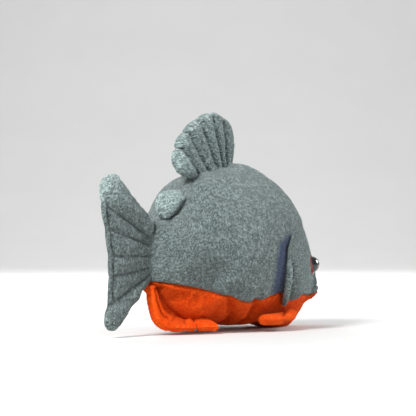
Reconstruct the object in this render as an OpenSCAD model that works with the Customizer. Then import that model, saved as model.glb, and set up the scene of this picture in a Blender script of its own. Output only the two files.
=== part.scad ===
// Plush fish with a grey back, an orange belly, sewn padded fins and a folded anal fin that it sits on.
// +X points to the head, +Z up, -Y is the fish's right side. Z = 0 is the surface that it rests on.
// The origin is under the middle of the whole fish. All sizes are in millimetres.

/* [Fabric] */
// Thickness of the short-pile body fabric
cloth_t = 2; // [1.5:0.5:2.5]
// Thickness of one ply of fin fabric
fin_ply_t = 1.2; // [1:0.1:1.4]
// Clearance between the body and a piece sewn on it
seam_gap = 0.4; // [0.3:0.1:0.6]

/* [Body] */
// Distance from the origin back to the tail seam
tail_seam_x = 80.5; // [79:0.5:82]
// Distance from the origin forward to the tip of the snout
snout_x = 134.5; // [133:0.5:136]
// Half of the body's greatest width
body_half_w = 48; // [45:1:50]

/* [Fins] */
// Half of the wadding's thickness in the tail fin
tail_pad = 4.2; // [3:0.1:4.5]
// Half of the wadding's thickness in the dorsal fin
dorsal_pad = 4.2; // [3:0.1:4.5]
// Half of the wadding's thickness in the adipose fin
adipose_pad = 3.6; // [2.5:0.1:4]
// Half of the wadding's thickness in the anal fin
anal_pad = 3.2; // [2.5:0.1:3.3]
// Half of the wadding's thickness in a pectoral fin
pectoral_pad = 3.4; // [2.5:0.1:3.6]
// Thickness of a gill cover at its free rim
gill_rim_t = 5; // [3:0.5:6]

/* [Eyes] */
// Radius of the black dome of an eye
eye_r = 6.8; // [6:0.1:7.5]
// Radius of the red iris ring behind it
iris_r = 7.8; // [7.6:0.1:8.4]
// Height that the dome stands out of the iris ring
eye_h = 5.6; // [4.5:0.1:6]

/* [Hidden] */
$fn = 48;

grey = "#7b8d8a";
orange = "#f05a1e";
fibre = "#f2f0ea";

stations = 24;      // rings along the body
side_steps = 12;    // steps down one side, from the back's ridge to the belly seam
belly_steps = 10;   // steps across the belly
fin_steps = 14;     // steps along a fin's base
fin_rows = 7;       // steps from a fin's base to its rim

// The body's outlines. Each point is [x, value], from the tail seam to the snout.
back_z = [[-80.5, 86], [-70, 86.5], [-62, 89], [-54, 96.5], [-46, 107], [-38.5, 115.5], [-27.5, 121.8], [-15, 125.2],
          [3.5, 130], [17, 132.6], [33, 131.2], [50, 125.5], [66, 117], [80, 106.3], [92, 94.5], [104, 81],
          [114, 67.5], [122, 55.5], [129, 44.5], [133, 37.5], [134.5, 33]];
belly_z = [[-80.5, 40], [-74, 34], [-66, 25.5], [-57, 17], [-47, 12], [-32, 10.4], [-18, 9], [-5, 6.6],
           [15, 5.8], [32, 5.8], [46, 5], [57, 2.4], [66, -0.8], [75, -1.4], [83, -0.6], [90, 3.5],
           [97, 9], [105, 13.5], [116, 18.5], [126, 22.5], [131, 25.2], [134.5, 29.5]];
half_w = [[-80.5, 0.06], [-79, 0.2], [-75.5, 0.34], [-68, 0.48], [-58, 0.63], [-45, 0.79], [-30, 0.92],
          [-15, 0.98], [2, 1], [20, 1], [36, 0.985], [50, 0.94], [64, 0.85], [76, 0.73], [88, 0.59],
          [100, 0.44], [112, 0.3], [122, 0.2], [129, 0.14], [133, 0.09], [134.5, 0.05]];
widest_z = [[-80.5, 63], [-60, 60], [-30, 58], [0, 56], [30, 53], [60, 47], [90, 42], [115, 37], [130, 33.5],
            [134.5, 31.3]];
back_round = [[-80.5, 0.8], [-50, 0.7], [-32, 0.68], [-10, 0.8], [10, 0.98], [40, 1.15], [80, 1.1], [120, 0.9],
              [134.5, 0.8]];
belly_round = [[-80.5, 0.9], [-40, 0.8], [0, 0.75], [60, 0.7], [100, 0.8], [134.5, 0.9]];
// Height of the seam between the grey side and the orange belly
seam_z = [[-80.5, 40.5], [-70, 38.6], [-58, 35.2], [-47, 32], [-37, 29.4], [-25, 26.3], [-13, 24], [0, 23.5],
          [12, 26.4], [25, 29], [40, 27.5], [60, 27.5], [85, 28.2], [104, 27.4], [120, 27], [129, 28.2],
          [134.5, 30.2]];

// Smooth curve through the points [x, value] of a list, at x
function slope(p, i) =
    i == 0 ? (p[1][1] - p[0][1]) / (p[1][0] - p[0][0])
    : i == len(p) - 1 ? (p[i][1] - p[i - 1][1]) / (p[i][0] - p[i - 1][0])
    : (p[i + 1][1] - p[i - 1][1]) / (p[i + 1][0] - p[i - 1][0]);
function span_of(p, x, i = 0) = i >= len(p) - 2 || x < p[i + 1][0] ? i : span_of(p, x, i + 1);
function hermite(h, s, a, b, da, db) =
    a * (1 + 2 * s) * (1 - s) ^ 2 + b * s ^ 2 * (3 - 2 * s) + h * (da * s * (1 - s) ^ 2 - db * s ^ 2 * (1 - s));
function curve(p, x) =
    let (i = span_of(p, x), h = p[i + 1][0] - p[i][0], s = min(1, max(0, (x - p[i][0]) / h)))
    hermite(h, s, p[i][1], p[i + 1][1], slope(p, i), slope(p, i + 1));
// Smooth path through points, at t from 0 to 1
function path(p, t) =
    let (n = len(p) - 1)
    [for (k = [0 : len(p[0]) - 1]) curve([for (i = [0 : n]) [i / n, p[i][k]]], t)];

function unit(v) = v / norm(v);
function mirrored(p) = [p[0], -p[1], p[2]];
function power(b, e) = b <= 0 ? 0 : b ^ e;

// x of the body's rings: close together at the blunt ends
function ring_x(t) = -tail_seam_x + (tail_seam_x + snout_x) * (t < 0.5 ? 2 * t * t * 0.35 + 0.65 * t
    : 1 - 2 * (1 - t) ^ 2 * 0.45 - 0.55 * (1 - t));

// Point of the body's right side at x, at an angle from the back's ridge (0) to the belly's keel (180)
function section(x, angle) =
    let (c = cos(angle), mid = curve(widest_z, x), up = curve(back_z, x) - mid, down = mid - curve(belly_z, x),
         w = body_half_w * curve(half_w, x),
         bulge = power(sin(angle), curve(c > 0 ? back_round : belly_round, x)))
    [x, -w * bulge, max(0, mid + c * (c > 0 ? up : down))];
function seam_angle(x) =
    let (mid = curve(widest_z, x), down = mid - curve(belly_z, x))
    acos(max(-0.98, min(0.98, (curve(seam_z, x) - mid) / down)));
// Angle of the body's right side at x where it has the height z
function angle_at(x, z) =
    let (mid = curve(widest_z, x), reach = z > mid ? curve(back_z, x) - mid : mid - curve(belly_z, x))
    acos(max(-0.98, min(0.98, (z - mid) / reach)));

function outward(x, angle) =
    let (e = 0.4, a = max(1, min(179, angle)),
         along = section(min(x + e, snout_x), a) - section(max(x - e, -tail_seam_x), a),
         around = section(x, a + 1) - section(x, a - 1))
    unit(cross(around, along));
// The same point moved in along the surface's normal; the ridge and the keel stay on the middle plane
function inset(x, angle, depth) =
    let (p = section(x, angle) - depth * outward(x, angle), keel = angle < 0.01 || angle > 179.99)
    [max(-tail_seam_x, min(snout_x, p[0])), keel ? 0 : min(-0.35, p[1]), p[2]];

function side_grid(depth) =
    [for (i = [0 : stations]) let (x = ring_x(i / stations), last = seam_angle(x))
        [for (j = [0 : side_steps]) inset_or_surface(x, last * j / side_steps, depth)]];
function belly_grid(depth) =
    [for (i = [0 : stations]) let (x = ring_x(i / stations), first = seam_angle(x))
        [for (j = [0 : belly_steps])
            let (b = 1 - 2 * j / belly_steps, p = inset_or_surface(x, 180 - (180 - first) * abs(b), depth))
            b > 0 ? p : mirrored(p)]];
function inset_or_surface(x, angle, depth) = depth == 0 ? section(x, angle) : inset(x, angle, depth);

// Two triangles on the corners a, b, c, d, split from a to c or from b to d
function quad(a, b, c, d, from_a = true) = from_a ? [[a, b, c], [a, c, d]] : [[a, b, d], [b, c, d]];

// Closed solid between two grids of points. The high grid is on the side that row x column points to.
// from_a(i, j) says which way each cell is split, so that pieces that meet are split alike.
module slab(low, high, from_a) {
    rows = len(low) - 1;
    cols = len(low[0]) - 1;
    w = cols + 1;
    n = (rows + 1) * w;
    faces = [
        for (i = [0 : rows - 1], j = [0 : cols - 1])
            let (a = i * w + j, f = from_a(i, j))
            each concat(quad(n + a, n + a + 1, n + a + w + 1, n + a + w, f), quad(a, a + w, a + w + 1, a + 1, f)),
        for (i = [0 : rows - 1])
            let (a = i * w, b = a + cols)
            each concat(quad(a, n + a, n + a + w, a + w), quad(b, b + w, n + b + w, n + b)),
        for (j = [0 : cols - 1])
            let (a = j, b = rows * w + j)
            each concat(quad(a, a + 1, n + a + 1, n + a), quad(b, n + b, n + b + 1, b + 1))
    ];
    polyhedron([each for (r = low) r, each for (r = high) r], faces, convexity = 6);
}

// Closed lens between two grids that share their rim
module lens(low, high, from_a) {
    rows = len(low) - 1;
    cols = len(low[0]) - 1;
    w = cols + 1;
    n = (rows + 1) * w;
    function under(i, j) = (i == 0 || j == 0 || i == rows || j == cols ? 0 : n) + i * w + j;
    faces = [
        for (i = [0 : rows - 1], j = [0 : cols - 1])
            let (a = i * w + j, f = from_a(i, j))
            each concat(quad(a, a + 1, a + w + 1, a + w, f),
                quad(under(i, j), under(i + 1, j), under(i + 1, j + 1), under(i, j + 1), f))
    ];
    polyhedron([each for (r = high) r, each for (r = low) r], faces, convexity = 6);
}

// Closed solid through rings of points, with a flat-fan cap at both ends
module skin(rings) {
    n = len(rings[0]);
    last = (len(rings) - 1) * n;
    hubs = len(rings) * n;
    function mean(ring) = [for (k = [0 : 2]) [for (p = ring) p[k]] * [for (p = ring) 1 / n]];
    faces = [
        for (i = [0 : len(rings) - 2], j = [0 : n - 1])
            let (a = i * n + j, b = i * n + (j + 1) % n)
            each quad(a, a + n, b + n, b, j < n / 2),
        for (j = [0 : n - 1]) [hubs, j, (j + 1) % n],
        for (j = [0 : n - 1]) [hubs + 1, last + (j + 1) % n, last + j]
    ];
    polyhedron([each for (r = rings) r, mean(rings[0]), mean(rings[len(rings) - 1])], faces, convexity = 6);
}

// A fin is a fan of rays from its base to its rim. base and rim are paths, and pad is the wadding's half thickness.
function fin_mid(base, rim) =
    [for (i = [0 : fin_steps]) let (u = i / fin_steps, a = path(base, u), b = path(rim, u))
        [for (j = [0 : fin_rows]) a + (b - a) * (j / fin_rows)]];
// Half thickness of the wadding: none at the seams round the edge, full between them
function fin_pad(i, j) =
    power(sin(180 * i / fin_steps), 0.35) * power(sin(180 * (0.04 + 0.96 * j / fin_rows)), 0.5)
    * (i == 0 || j == 0 || i == fin_steps || j == fin_rows ? 0 : 1);
function fin_normal(mid, i, j) =
    let (i0 = max(0, i - 1), i1 = min(fin_steps, i + 1), j0 = max(0, j - 1), j1 = min(fin_rows, j + 1))
    unit(cross(mid[i1][j] - mid[i0][j], mid[i][j1] - mid[i][j0]));
function fin_grid(mid, pad, skin_t) =
    [for (i = [0 : fin_steps]) [for (j = [0 : fin_rows])
        mid[i][j] + fin_normal(mid, i, j) * (pad * fin_pad(i, j) + abs(skin_t)) * (skin_t < 0 ? -1 : 1)]];
function pad_grid(mid, pad, side) =
    [for (i = [0 : fin_steps]) [for (j = [0 : fin_rows])
        mid[i][j] + fin_normal(mid, i, j) * pad * fin_pad(i, j) * side]];

// The ply on the side that base x ray points to, the ply on the other side, and the wadding between them
fin_split = function (i, j) (i < fin_steps / 2) == (j < fin_rows / 2);
module fin_upper_ply(mid, pad) slab(pad_grid(mid, pad, 1), fin_grid(mid, pad, fin_ply_t), fin_split);
module fin_lower_ply(mid, pad) slab(fin_grid(mid, pad, -fin_ply_t), pad_grid(mid, pad, -1), fin_split);
module fin_wadding(mid, pad) lens(pad_grid(mid, pad, -1), pad_grid(mid, pad, 1), fin_split);

// Fins. Base and rim paths run the same way.
tail_hinge_x = -tail_seam_x - fin_ply_t - seam_gap;
tail_mid = fin_mid(
    [[tail_hinge_x, 0, 42], [tail_hinge_x, 0, 64], [tail_hinge_x, 0, 86]],
    [[-113, 0, 12], [-121, 0, 5.5], [-129.5, 0, 10], [-127.5, 0, 32], [-127.3, 0, 56], [-131, 0, 80],
     [-134.9, 0, 100], [-130, 0, 116], [-120, 0, 120.5]]);
dorsal_mid = fin_mid(
    [[-38.5, 0, 119.9], [-11, 0, 127.25], [16.5, 0, 134.6]],
    [[-50, 0, 121.5], [-56, 0, 131], [-50.5, 0, 143], [-41, 0, 156], [-26, 0, 166], [-9, 0, 171.5], [6, 0, 168.5],
     [14.5, 0, 159.5], [17.5, 0, 146]]);
adipose_mid = fin_mid(
    [[-62, -3, 90.3], [-54, -4, 98.2], [-46, -5, 108.3]],
    [[-69, -1, 90.5], [-73.5, 1.5, 93], [-72, 4.5, 98.5], [-65, 5.5, 105], [-57, 4.5, 110], [-50, 0, 111.8]]);
anal_mid = fin_mid(
    [[-78.5, 0, 34.5], [-70, 0, 25.5], [-60, -1, 15], [-50, -2, 6.5], [-42, -4, 4.5], [-33, -9, 4.5]],
    [[-83, -1, 37], [-82, -3, 22], [-79, -6, 10], [-70, -13, 4.7], [-53, -23, 4.5], [-38, -33, 4.5]]);
pectoral_mid = fin_mid(
    [[40, -36.8, 8.5], [46, -36, 8.5], [52, -35, 8.5]],
    [[6, -36.5, 4.9], [2, -42, 4.8], [10, -50, 5], [22, -55, 6], [35, -55.5, 8], [45, -50, 9.5], [51, -44, 10]]);

// A gill cover: a padded flap on the cheek, sewn along its front edge and free along its rear rim
gill_front_x = 60;
gill_low_z = 19;
gill_high_z = 78;
gill_steps = 10;
function gill_grid(lift) =
    [for (i = [0 : gill_steps]) let (u = i / gill_steps)
        [for (j = [0 : gill_steps])
            let (v = j / gill_steps, z = gill_low_z + (gill_high_z - gill_low_z) * v,
                 rear = 29 + 14 * abs(2 * v - 1) ^ 2.5, x = gill_front_x + (rear - gill_front_x) * u,
                 a = angle_at(x, z), rim = power(sin(180 * min(1, max(0, v))), 0.4),
                 t = 1.2 + (gill_rim_t - 1.2) * rim * sin(90 * u) ^ 2,
                 rise = seam_gap + 0.25 + 0.2 * abs(section(gill_front_x, 95)[1] - section(gill_front_x,
                     angle_at(gill_front_x, z))[1]) * (1 - u))
            section(x, a) + outward(x, a) * (rise + lift * t)]];

// An eye: a black dome with a shank, a red ring behind it, and a washer that locks the shank inside the head
eye_x = 93;
eye_z = 51;
shank_r = 2.2;
shank_l = 9;
washer_r = 6;
washer_t = 1.5;
ring_t = 1.4;
eye_at = section(eye_x, angle_at(eye_x, eye_z));
eye_out = outward(eye_x, angle_at(eye_x, eye_z));
module at_eye() {
    turn = atan2(eye_out[1], eye_out[0]);
    tilt = acos(eye_out[2]);
    translate(eye_at) rotate([0, tilt, turn]) children();
}
module both_sides(side) {
    if (side > 0) mirror([0, 1, 0]) children();
    else children();
}
module eye(side) {
    dome_r = (eye_r ^ 2 + eye_h ^ 2) / (2 * eye_h);
    both_sides(side) color("#0b0b0c") at_eye() union() {
        translate([0, 0, ring_t]) intersection() {
            translate([0, 0, eye_h - dome_r]) sphere(r = dome_r);
            cylinder(r = eye_r + 1, h = eye_h + 1);
        }
        translate([0, 0, -shank_l]) cylinder(r = shank_r, h = shank_l + ring_t + 0.5);
    }
}
module eye_iris(side) {
    both_sides(side) color("#a3160c") at_eye() difference() {
        cylinder(r = iris_r, h = ring_t);
        translate([0, 0, -1]) cylinder(r = shank_r, h = ring_t + 2);
    }
}
module eye_washer(side) {
    both_sides(side) color("#d9d9d4") at_eye() translate([0, 0, -cloth_t - 1.2 - washer_t]) difference() {
        cylinder(r = washer_r, h = washer_t);
        translate([0, 0, -1]) cylinder(r = shank_r, h = washer_t + 2);
    }
}
module eye_hole() at_eye() translate([0, 0, -shank_l - 1]) cylinder(r = shank_r, h = shank_l + 4);
module washer_pocket() at_eye() translate([0, 0, -cloth_t - 1.2 - washer_t]) cylinder(r = washer_r, h = washer_t);

even_split = function (i, j) true;
belly_split = function (i, j) j < belly_steps / 2;
module body_panel_right() color(grey) difference() {
    slab(side_grid(0), side_grid(cloth_t), even_split);
    eye_hole();
}
module body_panel_left() mirror([0, 1, 0]) body_panel_right();
module belly_panel() color(orange) slab(belly_grid(0), belly_grid(cloth_t), belly_split);
module body_stuffing() {
    right = side_grid(cloth_t);
    below = belly_grid(cloth_t);
    rings = [for (i = [0 : stations]) concat(
        right[i], [for (j = [1 : belly_steps - 1]) below[i][j]],
        [for (j = [side_steps : -1 : 1]) mirrored(right[i][j])])];
    color(fibre) difference() {
        skin(rings);
        eye_hole();
        mirror([0, 1, 0]) eye_hole();
        washer_pocket();
        mirror([0, 1, 0]) washer_pocket();
    }
}
module gill_cover(side) {
    both_sides(side) color(grey) slab(gill_grid(1), gill_grid(0), even_split);
}

module tail_fin_panel_left() color(grey) fin_lower_ply(tail_mid, tail_pad);
module tail_fin_panel_right() color(grey) fin_upper_ply(tail_mid, tail_pad);
module tail_fin_wadding() color(fibre) fin_wadding(tail_mid, tail_pad);
module dorsal_fin_panel_left() color(grey) fin_lower_ply(dorsal_mid, dorsal_pad);
module dorsal_fin_panel_right() color(grey) fin_upper_ply(dorsal_mid, dorsal_pad);
module dorsal_fin_wadding() color(fibre) fin_wadding(dorsal_mid, dorsal_pad);
module adipose_fin_panel_left() color(grey) fin_lower_ply(adipose_mid, adipose_pad);
module adipose_fin_panel_right() color(grey) fin_upper_ply(adipose_mid, adipose_pad);
module adipose_fin_wadding() color(fibre) fin_wadding(adipose_mid, adipose_pad);
module anal_fin_panel_top() color(orange) fin_lower_ply(anal_mid, anal_pad);
module anal_fin_panel_bottom() color(orange) fin_upper_ply(anal_mid, anal_pad);
module anal_fin_wadding() color(fibre) fin_wadding(anal_mid, anal_pad);
module pectoral_fin_panel_top(side) both_sides(side) color(orange) fin_lower_ply(pectoral_mid, pectoral_pad);
module pectoral_fin_panel_bottom(side) both_sides(side) color(orange) fin_upper_ply(pectoral_mid, pectoral_pad);
module pectoral_fin_wadding(side) both_sides(side) color(fibre) fin_wadding(pectoral_mid, pectoral_pad);

body_panel_left();
body_panel_right();
belly_panel();
body_stuffing();
gill_cover(1);  // gill_cover_left
gill_cover(-1);  // gill_cover_right
eye(1);  // eye_left
eye(-1);  // eye_right
eye_iris(1);  // eye_iris_left
eye_iris(-1);  // eye_iris_right
eye_washer(1);  // eye_washer_left
eye_washer(-1);  // eye_washer_right
tail_fin_panel_left();
tail_fin_panel_right();
tail_fin_wadding();
dorsal_fin_panel_left();
dorsal_fin_panel_right();
dorsal_fin_wadding();
adipose_fin_panel_left();
adipose_fin_panel_right();
adipose_fin_wadding();
anal_fin_panel_top();
anal_fin_panel_bottom();
anal_fin_wadding();
pectoral_fin_panel_top(1);  // pectoral_fin_left_panel_top
pectoral_fin_panel_bottom(1);  // pectoral_fin_left_panel_bottom
pectoral_fin_wadding(1);  // pectoral_fin_left_wadding
pectoral_fin_panel_top(-1);  // pectoral_fin_right_panel_top
pectoral_fin_panel_bottom(-1);  // pectoral_fin_right_panel_bottom
pectoral_fin_wadding(-1);  // pectoral_fin_right_wadding
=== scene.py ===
import math

import bpy
import numpy as np
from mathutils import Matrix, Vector, noise


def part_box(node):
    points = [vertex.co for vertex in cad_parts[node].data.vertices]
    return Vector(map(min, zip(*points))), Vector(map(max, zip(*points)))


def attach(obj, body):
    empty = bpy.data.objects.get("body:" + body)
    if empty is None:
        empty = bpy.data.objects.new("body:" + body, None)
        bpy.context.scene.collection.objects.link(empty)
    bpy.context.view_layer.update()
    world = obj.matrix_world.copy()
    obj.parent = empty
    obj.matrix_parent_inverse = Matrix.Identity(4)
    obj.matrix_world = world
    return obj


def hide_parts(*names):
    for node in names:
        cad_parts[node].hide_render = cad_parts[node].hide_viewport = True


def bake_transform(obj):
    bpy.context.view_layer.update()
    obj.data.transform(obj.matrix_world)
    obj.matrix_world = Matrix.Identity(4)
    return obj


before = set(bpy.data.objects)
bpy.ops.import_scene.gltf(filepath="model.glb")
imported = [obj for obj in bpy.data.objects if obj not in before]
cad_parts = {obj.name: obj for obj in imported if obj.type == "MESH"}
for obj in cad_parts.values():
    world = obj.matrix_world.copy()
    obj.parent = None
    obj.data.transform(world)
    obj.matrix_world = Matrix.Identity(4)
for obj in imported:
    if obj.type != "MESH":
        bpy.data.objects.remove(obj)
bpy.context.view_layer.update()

# Lengths are in millimetres up to where a mesh is made, and angles are in degrees.
MM = 0.001
SIM_SCALE = 0.01  # metres per millimetre while cloth is simulated: a fin is as big as a cushion
SIDES = {"right": 1, "left": -1}
EDGES = (np.s_[0], np.s_[-1], np.s_[:, 0], np.s_[:, -1])

# Seeds of the smooth noise, one for each use.
GATHER_SEED, SWELL_SEED, LUMP_SEED, STRIPE_SEED = 6, 7, 8, 9
STITCH_SEED, CRINKLE_SEED, PUFF_SEED, FLAP_SEED = 12, 13, 14, 21


# ---- curves ----

def curve(points, x):
    """A smooth curve through the rows [x, value, ...] of a list, at x, with one value for each
    further column."""
    p = np.array(points, float)
    x = np.asarray(x, float)
    v = p[:, 1:]
    slope = np.empty_like(v)
    slope[1:-1] = (v[2:] - v[:-2]) / (p[2:, :1] - p[:-2, :1])
    slope[0] = (v[1] - v[0]) / (p[1, 0] - p[0, 0])
    slope[-1] = (v[-1] - v[-2]) / (p[-1, 0] - p[-2, 0])
    i = np.clip(np.searchsorted(p[:, 0], x, side="right") - 1, 0, len(p) - 2)
    h = p[i + 1, 0] - p[i, 0]
    s = np.clip((x - p[i, 0]) / h, 0, 1)[..., None]
    h = h[..., None]
    out = (v[i] * (1 + 2 * s) * (1 - s) ** 2 + v[i + 1] * s ** 2 * (3 - 2 * s)
           + h * (slope[i] * s * (1 - s) ** 2 - slope[i + 1] * s ** 2 * (1 - s)))
    return out[..., 0] if out.shape[-1] == 1 else out


def smooth(a, b, x):
    """0 at a and beyond it, 1 at b and beyond it, and a smooth step between them."""
    t = np.clip((np.asarray(x, float) - a) / (b - a), 0, 1)
    return t * t * (3 - 2 * t)


def bell(x, width):
    """1 at 0, falling off on both sides within about the width."""
    return np.exp(-(np.asarray(x, float) / width) ** 2)


def noise_at(points, scale, seed):
    """Smooth noise from -1 to 1 at points, in features of about the scale (a number or three)."""
    shift = (seed * 17.3, seed * 5.1, seed * 9.7)
    q = np.asarray(points, float).reshape(-1, 3) / np.asarray(scale, float) + shift
    return np.array([noise.noise(p) for p in q.tolist()]).reshape(np.shape(points)[:-1])


# ---- grids of points ----

NOWHERE = 99.0         # a distance past every seam's effect
POINTS_AT_ONCE = 2000  # so that a table of distances stays small


def closed(ring):
    """A ring grid with its first column once more at the end."""
    return np.concatenate([ring, ring[:, :1]], axis=1)


def finer(grid, down, across, ring=False):
    """A grid of points with every cell split down x across times, along a smooth curve through
    the points. ring says that the last column joins the first."""
    def along(g, k, wrap):
        n = len(g)
        at = np.arange(n * k if wrap else (n - 1) * k + 1) / k
        i = np.minimum(at.astype(int), n - 1 if wrap else n - 2)
        s = (at - i)[:, None, None]
        if wrap:
            a, b, c, d = g[(i - 1) % n], g[i], g[(i + 1) % n], g[(i + 2) % n]
        else:
            ends = np.concatenate([[2 * g[0] - g[1]], g, [2 * g[-1] - g[-2]]])
            a, b, c, d = ends[i], ends[i + 1], ends[i + 2], ends[i + 3]
        return 0.5 * (2 * b + (c - a) * s + (2 * a - 5 * b + 4 * c - d) * s ** 2
                      + (3 * b - a - 3 * c + d) * s ** 3)
    g = along(np.asarray(grid, float), down, False)
    return along(g.transpose(1, 0, 2), across, ring).transpose(1, 0, 2)


def normals_of(g, ring=False):
    """Unit normals of a grid of points, on the side that row x column points to."""
    down = np.gradient(g, axis=0)
    if ring:
        across = (np.roll(g, -1, 1) - np.roll(g, 1, 1)) / 2
    else:
        across = np.gradient(g, axis=1)
    n = np.cross(down, across)
    return n / np.maximum(np.linalg.norm(n, axis=2, keepdims=True), 1e-9)


def arc(g, axis):
    """Distance along the grid's lines, from their first point."""
    step = np.linalg.norm(np.diff(g, axis=axis), axis=2)
    zero = np.zeros_like(np.take(step, [0], axis))
    return np.concatenate([zero, np.cumsum(step, axis)], axis)


def distance_to(grid, targets):
    """Distance from each point of a grid to the nearest target, or NOWHERE if there are none."""
    if not len(targets):
        return np.full(grid.shape[:2], NOWHERE)
    flat = grid.reshape(-1, 3)
    parts = np.array_split(flat, max(1, len(flat) // POINTS_AT_ONCE))
    return np.concatenate([np.sqrt(((part[:, None] - targets[None]) ** 2).sum(-1)).min(1)
                           for part in parts]).reshape(grid.shape[:2])


# ---- cloth ----

CLOTH_FRAMES = 18
CLOTH_QUALITY = 6
CLOTH_MASS = 0.3
STRETCH_STIFFNESS, SHEAR_STIFFNESS, BENDING_STIFFNESS = 12.0, 4, 0.4


def inflate(points, faces, pins, cap, pressure, spare):
    """Blows a sewn cover up as cloth, held at its pinned points, and gives where its points end.
    cap is how far each point may move, and spare is how much bigger than its place the fabric
    is cut."""
    points = np.asarray(points, float)
    mesh = bpy.data.meshes.new("cloth")
    mesh.from_pydata((points * SIM_SCALE).tolist(), [], faces)
    obj = bpy.data.objects.new("cloth", mesh)
    scene = bpy.context.scene
    scene.collection.objects.link(obj)
    obj.vertex_groups.new(name="pins").add([int(i) for i in pins], 1.0, "REPLACE")
    cloth = obj.modifiers.new("Cloth", "CLOTH")
    s = cloth.settings
    s.quality = CLOTH_QUALITY
    s.mass = CLOTH_MASS
    s.tension_stiffness = s.compression_stiffness = STRETCH_STIFFNESS
    s.shear_stiffness = SHEAR_STIFFNESS
    s.bending_stiffness = BENDING_STIFFNESS
    s.use_pressure = True
    s.uniform_pressure_force = pressure
    s.vertex_group_mass = "pins"
    s.shrink_min = -spare
    s.effector_weights.gravity = 0
    cloth.collision_settings.use_collision = False
    cloth.point_cache.frame_start = 1
    cloth.point_cache.frame_end = CLOTH_FRAMES
    for f in range(1, CLOTH_FRAMES + 1):
        scene.frame_set(f)
    seen = obj.evaluated_get(bpy.context.evaluated_depsgraph_get()).to_mesh()
    out = np.zeros(len(points) * 3, np.float32)
    seen.vertices.foreach_get("co", out)
    out = out.reshape(-1, 3).astype(float) / SIM_SCALE
    scene.frame_set(1)
    bpy.data.objects.remove(obj)
    bpy.data.meshes.remove(mesh)
    move = out - points
    far = np.linalg.norm(move, axis=1)
    cap = np.broadcast_to(np.asarray(cap, float), far.shape)
    # eases into the cap, so that no flat spot shows where it is reached
    keep = cap * np.tanh(far / np.maximum(cap, 1e-6)) / np.maximum(far, 1e-9)
    return points + move * keep[:, None]


# ---- meshes ----

def grid_faces(index, flip=False, ring=False):
    """Four-cornered faces between the entries of a grid of vertex numbers."""
    if ring:
        index = closed(index)
    a, b, c, d = index[:-1, :-1], index[:-1, 1:], index[1:, 1:], index[1:, :-1]
    f = np.stack([a, b, c, d] if flip else [a, d, c, b], axis=-1).reshape(-1, 4)
    return f.tolist()


def shell(g, depth, step):
    """A closed panel: the fine grid g outside, and a coarse copy of it inside, joined round the
    edge. Gives its points, its faces, and which outer point each point belongs to."""
    h, w = g.shape[:2]
    outward = -normals_of(g)
    outer = np.arange(h * w).reshape(h, w)
    rows = sorted(set(range(0, h, step)) | {h - 1})
    cols = sorted(set(range(0, w, step)) | {w - 1})
    below = (g - outward * depth)[np.ix_(rows, cols)]
    inner = h * w + np.arange(len(rows) * len(cols)).reshape(len(rows), len(cols))
    owner = np.concatenate([outer.ravel(), outer[np.ix_(rows, cols)].ravel()])
    faces = grid_faces(outer, flip=True) + grid_faces(inner)

    def rim(line, stops, under, flip):
        """Triangles that join an edge of the fine grid to the same edge of the coarse one."""
        for k in range(len(stops) - 1):
            a, b = stops[k], stops[k + 1]
            mid = (a + b) // 2
            for i in range(a, b):
                corner = under[k] if i < mid else under[k + 1]
                tri = [line[i], line[i + 1], corner]
                faces.append(tri[::-1] if flip else tri)
            tri = [line[mid], under[k + 1], under[k]]
            faces.append(tri[::-1] if flip else tri)
    rim(outer[0], cols, inner[0], False)
    rim(outer[-1], cols, inner[-1], True)
    rim(outer[:, 0], rows, inner[:, 0], True)
    rim(outer[:, -1], rows, inner[:, -1], False)
    faces = [[int(i) for i in f] for f in faces]
    return np.concatenate([g.reshape(-1, 3), below.reshape(-1, 3)]), faces, owner


def pillow_index(h, w):
    """Vertex numbers of the two plies of a pillow, which share their border, and where they
    don't share."""
    upper = np.arange(h * w).reshape(h, w)
    lower = upper.copy()
    inside = np.zeros((h, w), bool)
    inside[1:-1, 1:-1] = True
    lower[inside] = h * w + np.arange(inside.sum())
    return upper, lower, inside


def pillow(upper_grid, lower_grid):
    """Two grids joined at their border. Gives points, faces, and each point's place in a grid."""
    h, w = upper_grid.shape[:2]
    upper, lower, inside = pillow_index(h, w)
    points = np.concatenate([upper_grid.reshape(-1, 3), lower_grid[inside]])
    faces = grid_faces(upper) + grid_faces(lower, flip=True)
    return points, faces, np.concatenate([np.arange(h * w), upper[inside]])


def on_side(points, faces, sign):
    """What was made for the right side (sign 1), or its mirror image for the left (sign -1)."""
    if sign > 0:
        return points, faces
    return points * (1, -1, 1), [f[::-1] for f in faces]


TUFT_SIZE = 0.75
TUFT_SHARE = 1.2     # weight of a point's own height against its neighbours'
PRESSED_PILE = 0.12  # relief that is left where a piece lies on the floor


def tufts(mesh, points):
    """Height of the pile at each point, mostly from -1 to 1: random tufts, smoothed once along
    the mesh's edges."""
    count = len(points)
    pairs = np.zeros(len(mesh.edges) * 2, np.int32)
    mesh.edges.foreach_get("vertices", pairs)
    a, b = pairs.reshape(-1, 2).T
    length = np.linalg.norm(points[a] - points[b], axis=1)
    weight = np.clip((TUFT_SIZE / np.maximum(length, 0.2)) ** 2, 0.1, 5)
    value = np.random.default_rng(count).standard_normal(count)
    total = value * TUFT_SHARE + np.bincount(a, weight * value[b], count) + np.bincount(
        b, weight * value[a], count)
    value = total / (TUFT_SHARE + np.bincount(a, weight, count) + np.bincount(b, weight, count))
    return np.clip(value / value.std() * 0.5, -1.2, 1.2)


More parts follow.
